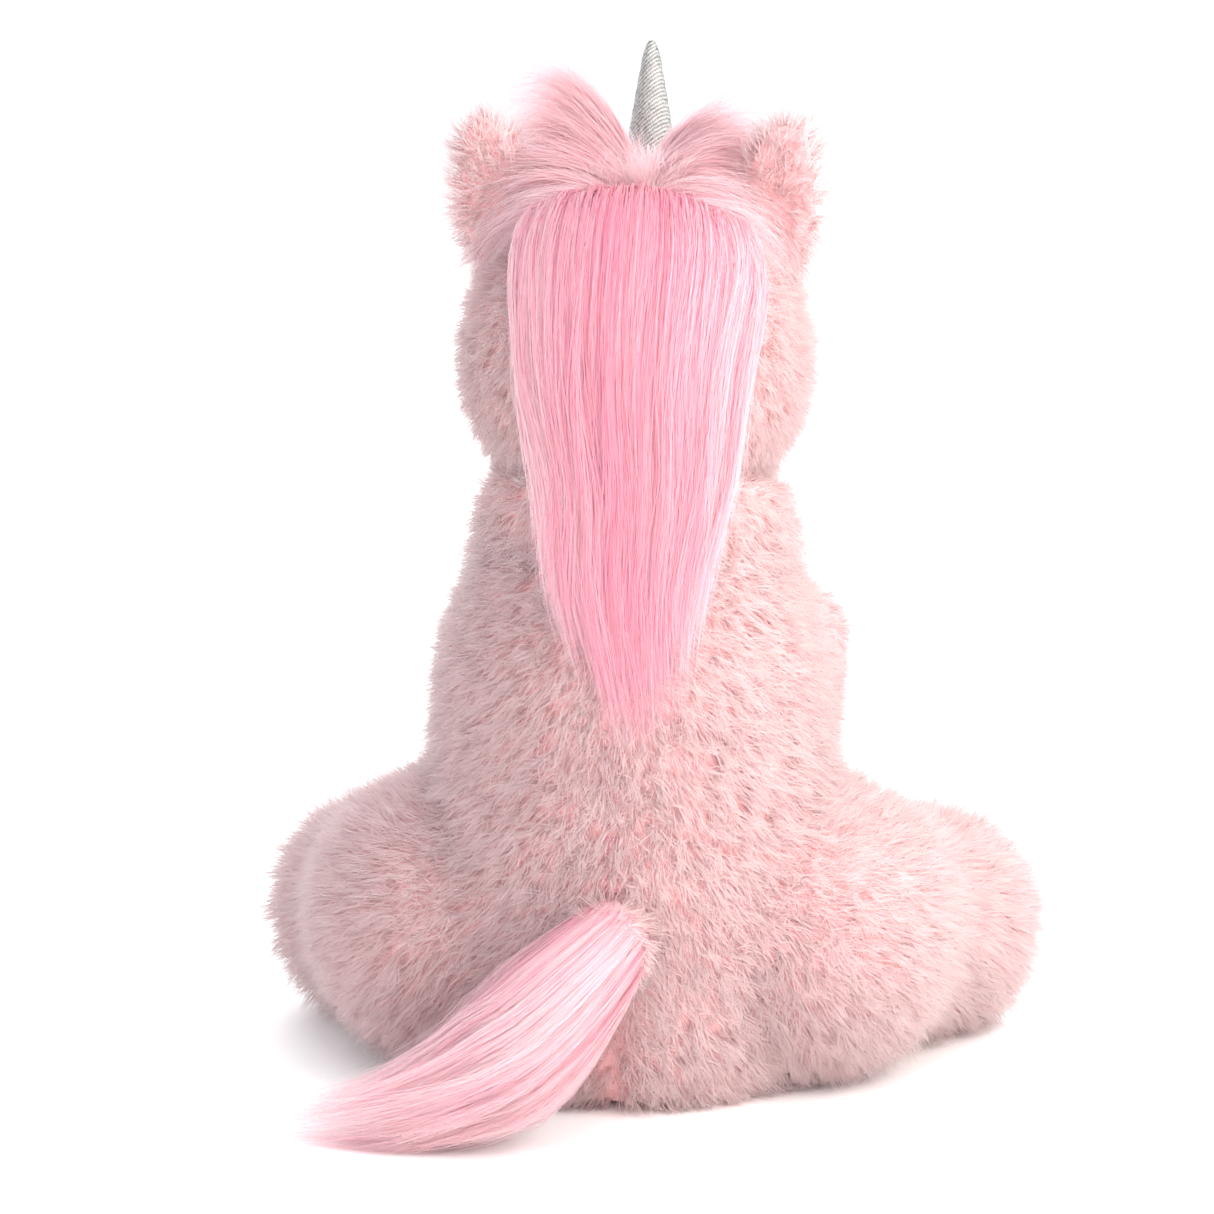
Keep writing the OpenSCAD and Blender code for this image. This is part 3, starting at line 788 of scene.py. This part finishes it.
# Upper and lower edge of each tuft, in millimetres, from the whorl outwards
TUFTS = {
    "left": ([(-2, -14, 256), (8, -17, 272), (19, -20, 284), (32, -22, 289), (46, -22, 281)],
             [(-1, 14, 249), (14, 18, 250), (28, 18, 244), (38, 14, 232), (44, 9, 214)]),
    "right": ([(0, -13, 256), (-9, -15, 266), (-19, -17, 272), (-30, -18, 274), (-41, -18, 266)],
              [(-1, 14, 249), (-14, 18, 250), (-28, 18, 244), (-39, 14, 230), (-45, 10, 212)])}
TUFT_THICKNESS = 3
TUFT_SWELL = 12
FUZZ_LENGTH = 17 * MM
FUZZ_SWIRL = 0.7


def hair_finish(start):
    """Streaks of deeper and paler pink, one to a fibre."""
    chart = start.node("UVMap", {}, uv_map="OFBake")
    tone = start.node("SeparateXYZ", {"Vector": chart})
    along = start.node("SeparateXYZ", {"Vector": chart}, out=1)
    depth = tone + along * 0.25 - 0.12
    return {"Base Color": depth.node("ValToRGB", {0: depth},
                                     stops=[(0.1, MANE_DEEP), (0.5, MANE_MID), (0.9, MANE_PALE)])}


hair_material = glowing(material("silky_hair", hair_finish, {"Roughness": 0.42, "Sheen Weight": 0.25}))


def hair(name, path, count, rings, seed, locks, gather, shortest, stray, wave=0.04, inner=0.0,
         middle=None, width=HAIR_WIDTH, pale=0.0, edge=0.0):
    """Long fibres on path(a, b, t): a runs across the piece, b up through it, and t from root to tip.

    gather is how far they draw together into locks towards their tips, and stray how far they drift
    there, in millimetres. The shortest lock has that share of the full length, and b starts at inner.
    They face away from middle(points), or else the way that b rises. pale lightens them all, and
    edge those at the sides."""
    rng = np.random.default_rng(seed)
    a = rng.uniform(-1, 1, count)
    b = inner + (1 - inner) * np.sqrt(rng.random(count))
    lock_a = rng.uniform(-1, 1, locks)
    lock_b = inner + (1 - inner) * rng.random(locks)
    tree = KDTree(locks)
    for index in range(locks):
        tree.insert((lock_a[index], lock_b[index] * LOCK_DEPTH, 0), index)
    tree.balance()
    member = np.array([tree.find((u, v * LOCK_DEPTH, 0))[1] for u, v in zip(a, b)])
    length = rng.uniform(shortest, 1, locks)[member] * rng.uniform(*HAIR_LENGTHS, count) ** 0.7
    share = np.linspace(0, 1, rings)[None]
    t = share * length[:, None]
    pull = gather * share ** 3
    swing = rng.uniform(0, math.tau, locks)[member][:, None]
    own = rng.uniform(0, math.tau, count)[:, None]
    a = a[:, None] + (lock_a[member] - a)[:, None] * pull
    b = b[:, None] + (lock_b[member] - b)[:, None] * pull
    a = a + wave * t * np.sin(t * LOCK_WAVE + swing) + wave * 0.5 * t * np.sin(t * HAIR_WAVE + own)
    b = b + wave * 2 * t * np.sin(t * LIFT_WAVE + swing + own * 0.2)
    drift = rng.normal(0, stray, (count, 1, 3))
    drift = drift + rng.normal(0, LOCK_DRIFT * stray, (locks, 1, 3))[member]
    spine = path(a, b, t) + drift * t[:, :, None] ** 1.5 * MM
    spine[:, :, 2] = np.maximum(spine[:, :, 2], HAIR_FLOOR)
    tangent = unit(np.gradient(spine, axis=1))
    outward = spine - middle(spine) if middle else path(a, b + DEPTH_STEP, t) - path(a, b, t)
    outward = unit(outward - tangent * (outward * tangent).sum(2, keepdims=True))
    flat = unit(np.cross(outward, tangent))
    lift = unit(np.cross(tangent, flat))
    roll = rng.normal(0, HAIR_ROLL, count)[:, None, None]
    taper = np.linspace(1, 1 - HAIR_TAPER, rings)
    taper[-1] = 0
    across = (flat * np.cos(roll) + lift * np.sin(roll)) * taper[None, :, None] * width / 2
    tone = 0.5 + pale + rng.normal(0, LOCK_TONE, locks)[member] + rng.normal(0, HAIR_TONE, count)
    tone += edge * (a[:, 0] ** 2 - EDGE_LEVEL)
    piece = fibres(name, spine, across, outward + rng.normal(0, HAIR_FACING, (count, 1, 3)), tone)
    piece.data.materials.append(hair_material)
    return piece


def smooth_step(share):
    """Rises gently from 0 to 1 as share does."""
    share = np.clip(share, 0, 1)
    return share * share * (3 - 2 * share)


def level(table, column, height):
    """A column of a table in millimetres, at heights between its rows."""
    rows = np.array(table) * MM
    return np.interp(height, rows[:, 0], rows[:, column])


def fall_path(a, b, t):
    """From the whorl sideways over the crown, down the back of the head, and on down the back."""
    root = WHORL + (1 - b) * NAPE_END
    end = QUARTER_TURN + HEAD_MIDDLE[2] - TIP_HEIGHT - SIDES_SHORTER * a ** 2
    run = root + (end - root) * t ** 1.15
    over = np.minimum(run, QUARTER_TURN) / HEAD_R
    nominal = HEAD_MIDDLE[2] + HEAD_R * np.cos(over) - np.maximum(run - QUARTER_TURN, 0)
    turned = np.clip((run - root) / TURN_OUT, 0, 1)
    spread = np.sqrt(1 - (1 - turned) ** 2)
    lift = smooth_step((run - root) / LIFT_RUN) * (1 - FALL_THINNING * t)
    rise = FALL_GAP + (FALL_LIFT + FALL_THICKNESS * b) * lift
    across = spread * (level(FALL_LEVELS, 1, nominal) + a * level(FALL_LEVELS, 2, nominal))
    aside = np.arcsin(np.clip(across / (HEAD_R + rise), -0.95, 0.95))
    on_head = run < QUARTER_TURN
    distance = np.where(on_head, HEAD_R, level(BACK_LEVELS, 1, nominal)) + rise
    height = np.where(on_head, HEAD_MIDDLE[2] + distance * np.cos(aside) * np.cos(over), nominal)
    return np.stack([HEAD_MIDDLE[0] + np.where(on_head, distance, HEAD_R + rise) * np.sin(aside),
                     HEAD_MIDDLE[1] + distance * np.cos(aside) * np.sin(over),
                     height], axis=-1)


def curve(points, t):
    """A smooth curve through some points, in millimetres, at shares t of its length."""
    rows = np.array(points, float) * MM
    rows = np.vstack([2 * rows[0] - rows[1], rows, 2 * rows[-1] - rows[-2]])
    spot = np.clip(t, 0, 0.9999) * (len(rows) - 3)
    first = spot.astype(int)
    share = (spot - first)[..., None]
    p0, p1, p2, p3 = (rows[first + step] for step in range(4))
    return 0.5 * (2 * p1 + (p2 - p0) * share + (2 * p0 - 5 * p1 + 4 * p2 - p3) * share ** 2
                  + (3 * p1 - p0 - 3 * p2 + p3) * share ** 3)


def tuft_path(upper, lower):
    """A fan of hair between two edges, thicker in the middle of its length."""
    def path(a, b, t):
        share = (a[..., None] + 1) / 2
        middle = curve(upper, t) * (1 - share) + curve(lower, t) * share
        away = unit(middle - HEAD_MIDDLE)
        depth = TUFT_THICKNESS + TUFT_SWELL * t * (1.3 - t)
        return middle + away * ((b - 0.5) * depth)[..., None] * MM
    return path


def spine_of_back(points):
    """The nearest point of the upright line through the head's middle and the back."""
    height = np.minimum(points[:, :, 2], HEAD_MIDDLE[2])
    return np.stack([height * 0, height * 0 + HEAD_MIDDLE[1], height], axis=-1)


falls = [
    hair("mane_fall", fall_path, 9500, 11, 41, 330, gather=0.85, wave=0.08, shortest=0.6, inner=0.1,
         middle=spine_of_back, stray=1.6, edge=0.35),
    hair("mane_flyaways", fall_path, 3000, 11, 45, 260, gather=0.7, wave=0.10, shortest=0.35, inner=0.8,
         middle=spine_of_back, stray=2.8, width=0.18 * MM, pale=0.15, edge=0.4)]
for fall in falls:
    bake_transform(fall)
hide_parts("crown_mane", "nape_mane")

for number, side in enumerate(SIDES):
    tuft = hair(side + "_mane_tuft", tuft_path(*TUFTS[side]), 8000, 8, 42 + number, 420, gather=0.4,
                wave=0.15, shortest=0.45, stray=4.5, width=0.20 * MM, pale=0.42)
    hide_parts("forelock")
    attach(tuft, "head")


def fuzz_path(a, b, t):
    """Short fibres that stand round the whorl and up against the horn's seam."""
    way = math.pi * a
    start = np.stack([b * np.sin(way) * 0.45, b * np.cos(way) * 0.5 - 0.24, np.ones(b.shape)], axis=-1)
    outward = unit(start)
    aside = np.stack([np.sin(way), np.cos(way), 0 * way], axis=-1) * t[..., None]
    return HEAD_MIDDLE + outward * HEAD_R + (outward + aside * FUZZ_SWIRL) * t[..., None] * FUZZ_LENGTH


fuzz = hair("crown_fuzz", fuzz_path, 5000, 5, 46, 500, gather=0.3, shortest=0.6, stray=2.5,
            width=0.2 * MM, pale=0.45)
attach(fuzz, "head")

# --- Tail -----------------------------------------------------------------------------------------
# A tail of the same silky fibre on a short plush strip, set into the back seam. It drops to the
# ground behind the seat and sweeps to the left in one curve that thins to a few hairs.

# Middle and radius of the tail at each stage, from its root to its tip
TAIL_STAGES = [(0, 55, 54, 10.5), (2, 68, 50, 13.5), (13, 82, 38, 18), (26, 89, 24, 20), (47, 91, 14, 14),
               (72, 89, 7, 8), (102, 84, 2, 2)]
TAIL_STEP = 0.02
TAIL_TWIST = 0.5
TAIL_ROOT = joint_place("tail_swing")
TAIL_ROOT_PILE_R = 11 * MM


def tail_path(a, b, t):
    """Round the tail's middle line: a turns about it, and b runs outwards from it."""
    stages = np.array(TAIL_STAGES, float)
    middle = curve(stages[:, :3], t)
    ahead = unit(curve(stages[:, :3], t + TAIL_STEP) - curve(stages[:, :3], t - TAIL_STEP))
    level_way = unit(np.cross(ahead, np.array([0, 0, 1.0])))
    upright = np.cross(level_way, ahead)
    spot = np.clip(t, 0, 1) * (len(stages) - 1)
    radius = np.interp(spot, np.arange(len(stages)), stages[:, 3]) * MM
    turn = math.pi * a + TAIL_TWIST * t
    offset = level_way * np.cos(turn)[..., None] + upright * np.sin(turn)[..., None]
    return middle + offset * (radius * b)[..., None]


strip = frame["nodes"]["tail_strip"]
pile("tail_root_pile", strip, "tail", downward, 9 * MM, density=4.0, seed=40,
     part=lambda p: np.linalg.norm(p - TAIL_ROOT, axis=1) < TAIL_ROOT_PILE_R)
tail = hair("tail_brush", tail_path, 9500, 10, 44, 420, gather=0.6, shortest=0.5, inner=0.25, stray=2.0,
            pale=0.3)
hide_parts("tail_hair")
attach(tail, "tail")

# --- Horn -----------------------------------------------------------------------------------------
# A slim cone of silver lame, a woven cloth with metal thread, sewn round fibre filling and caught
# into the seam above the brow. The weave runs round it slantwise, and it narrows to a blunt tip.

HORN_SIDES = 48
HORN_LEVELS = 60
HORN_BULGE = 0.9 * MM
RIB_HEIGHT = 0.16 * MM
RIB_COUNT = 22
RIB_TURNS = 6.4
ROUND_START = 0.93
ROUND_DEPTH = 0.5
HORN_TIP_BAND = 0.4 * MM
HORN_TIP_R = 1.6 * MM
HORN_INSET = 0.4 * MM
HORN_LIFT = 1.5 * MM
SILVER_DARK = (0.22, 0.22, 0.21)
SILVER_LIGHT = (0.74, 0.74, 0.71)


def silver_finish(start):
    """Fine slanting ribs with bright and dull threads, and here and there a glint."""
    where = place(start)
    slant = start.node("Mapping", {"Vector": where, "Rotation": (0.5, 0.6, 0.7), "Scale": (1, 1, 1)})
    ribs = start.node("TexWave", {"Vector": slant, "Scale": 340.0, "Distortion": 1.5, "Detail": 1.0,
                                  "Detail Scale": 2.0}, out=1)
    across = start.node("TexWave", {"Vector": slant, "Scale": 700.0, "Distortion": 3.0}, out=1,
                        bands_direction="Y")
    glint = start.node("TexVoronoi", {"Vector": where, "Scale": 1500.0}, out=1)
    glint = start.node("SeparateColor", {"Color": glint})
    threads = ribs * 0.75 + across * 0.25
    bright = threads * 0.75 + glint * 0.35 - 0.05
    return {"Base Color": bright.mix(SILVER_DARK, SILVER_LIGHT),
            "Roughness": 0.28 + glint * 0.35,
            "Normal": (threads + glint * 0.5).bump(1.0, 0.25 * MM)}


silver_cloth = material("silver_lame", silver_finish, {"Metallic": 0.8})

horn_points = coordinates(frame["nodes"]["horn_cover"].data)
HORN_TIP = Vector(horn_points[horn_points[:, 2] > horn_points[:, 2].max() - HORN_TIP_BAND].mean(0))
horn_low, horn_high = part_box("horn_cover")
HORN_SEAT = Vector((0, (horn_low.y + horn_high.y) / 2, horn_low.z + HORN_LIFT))
HORN_LENGTH = (HORN_TIP - HORN_SEAT).length
HORN_SEAT_R = (horn_high.x - horn_low.x) / 2 - HORN_INSET

shape = bmesh.new()
bmesh.ops.create_cone(shape, cap_ends=True, segments=HORN_SIDES, radius1=HORN_SEAT_R, radius2=HORN_TIP_R,
                      depth=HORN_LENGTH)
sides = [edge for edge in shape.edges if abs(edge.verts[0].co.z - edge.verts[1].co.z) > HORN_LENGTH / 2]
bmesh.ops.subdivide_edges(shape, edges=sides, cuts=HORN_LEVELS, use_grid_fill=True)
for point in shape.verts:
    up = point.co.z / HORN_LENGTH + 0.5
    around = math.atan2(point.co.y, point.co.x)
    swell = HORN_BULGE * math.sin(math.pi * up)
    rib = RIB_HEIGHT * math.sin(RIB_COUNT * around + math.tau * RIB_TURNS * up)
    flat = Vector((point.co.x, point.co.y, 0))
    rounding = 1 - max(0, (up - ROUND_START) / (1 - ROUND_START)) ** 2 * ROUND_DEPTH
    point.co.x, point.co.y = ((flat + flat.normalized() * (swell + rib)) * rounding).xy
lie = (HORN_TIP - HORN_SEAT).to_track_quat("Z", "Y").to_matrix().to_4x4()
lie.translation = (HORN_TIP + HORN_SEAT) / 2
shape.transform(lie)
bmesh.ops.recalc_face_normals(shape, faces=shape.faces)
horn_data = bpy.data.meshes.new("horn_cone")
shape.to_mesh(horn_data)
shape.free()
horn_data.polygons.foreach_set("use_smooth", np.ones(len(horn_data.polygons), bool))
finished(add("horn_cone", horn_data), "head", ["horn_cover"], silver_cloth)


def dressed(nodes, finish):
    """Gives CAD pieces that are shown as they are their material."""
    for node in nodes:
        data = frame["nodes"][node].data
        data.materials.clear()
        data.materials.append(finish)


dressed([side + part for side in SIDES for part in ("_ear_lining", "_front_hoof_pad", "_hind_foot_pad")],
        silver_cloth)

# --- Eyes and face --------------------------------------------------------------------------------
# Glossy plastic eyes on a stalk, held from inside by a plastic washer. The nostrils and the mouth are
# satin stitch in a deeper pink thread.


def eye_finish(start):
    depth = noise(start, 90)
    return {"Base Color": depth.mix((0.010, 0.006, 0.005), (0.035, 0.018, 0.012)),
            "Roughness": 0.08 + depth * 0.05}


def thread_finish(start):
    twist = start.node("TexWave", {"Vector": place(start), "Scale": 900.0, "Distortion": 1.0}, out=1)
    return {"Base Color": twist.mix((0.62, 0.22, 0.30), (0.80, 0.40, 0.48)),
            "Roughness": 0.45 + twist * 0.2,
            "Normal": twist.bump(0.5, 0.2 * MM)}


def washer_finish(start):
    cloud = noise(start, 300)
    return {"Base Color": cloud.mix((0.72, 0.70, 0.66), (0.82, 0.80, 0.77)),
            "Roughness": 0.35 + cloud * 0.1}


dressed(["left_eye", "right_eye"], material("black_brown_plastic", eye_finish, {"Coat Weight": 0.3}))
dressed(["back_seam_thread", "nostril_embroidery", "mouth_embroidery"],
        material("satin_thread", thread_finish, {"Sheen Weight": 0.3}))
dressed(["left_eye_washer", "right_eye_washer"], material("milky_plastic", washer_finish, {}))

# --- Filling --------------------------------------------------------------------------------------
# White polyester fibre fills every part, and small cloth bags of plastic pellets in the seat and the
# hind feet make the toy sit.


def filling_finish(start):
    fluff = noise(start, 500, 6, 0.7)
    return {"Base Color": fluff.mix((0.78, 0.76, 0.72), (0.93, 0.92, 0.89)),
            "Roughness": 0.85 + fluff * 0.1,
            "Normal": fluff.bump(0.8, 0.6 * MM)}


def bag_finish(start):
    pellets = start.node("TexVoronoi", {"Vector": place(start), "Scale": 330.0})
    weave = noise(start, 1600)
    return {"Base Color": weave.mix((0.66, 0.62, 0.54), (0.76, 0.72, 0.65)),
            "Roughness": 0.8 + weave * 0.1,
            "Normal": (weave * 0.2 - pellets).bump(0.6, 1.0 * MM)}


dressed([node for node in frame["nodes"] if node.endswith("stuffing")],
        material("fibre_filling", filling_finish, {"Sheen Weight": 0.3}))
dressed([node for node in frame["nodes"] if node.endswith("pellet_bag")],
        material("calico_bag", bag_finish, {}))
dressed(["tail_strip"], backing)
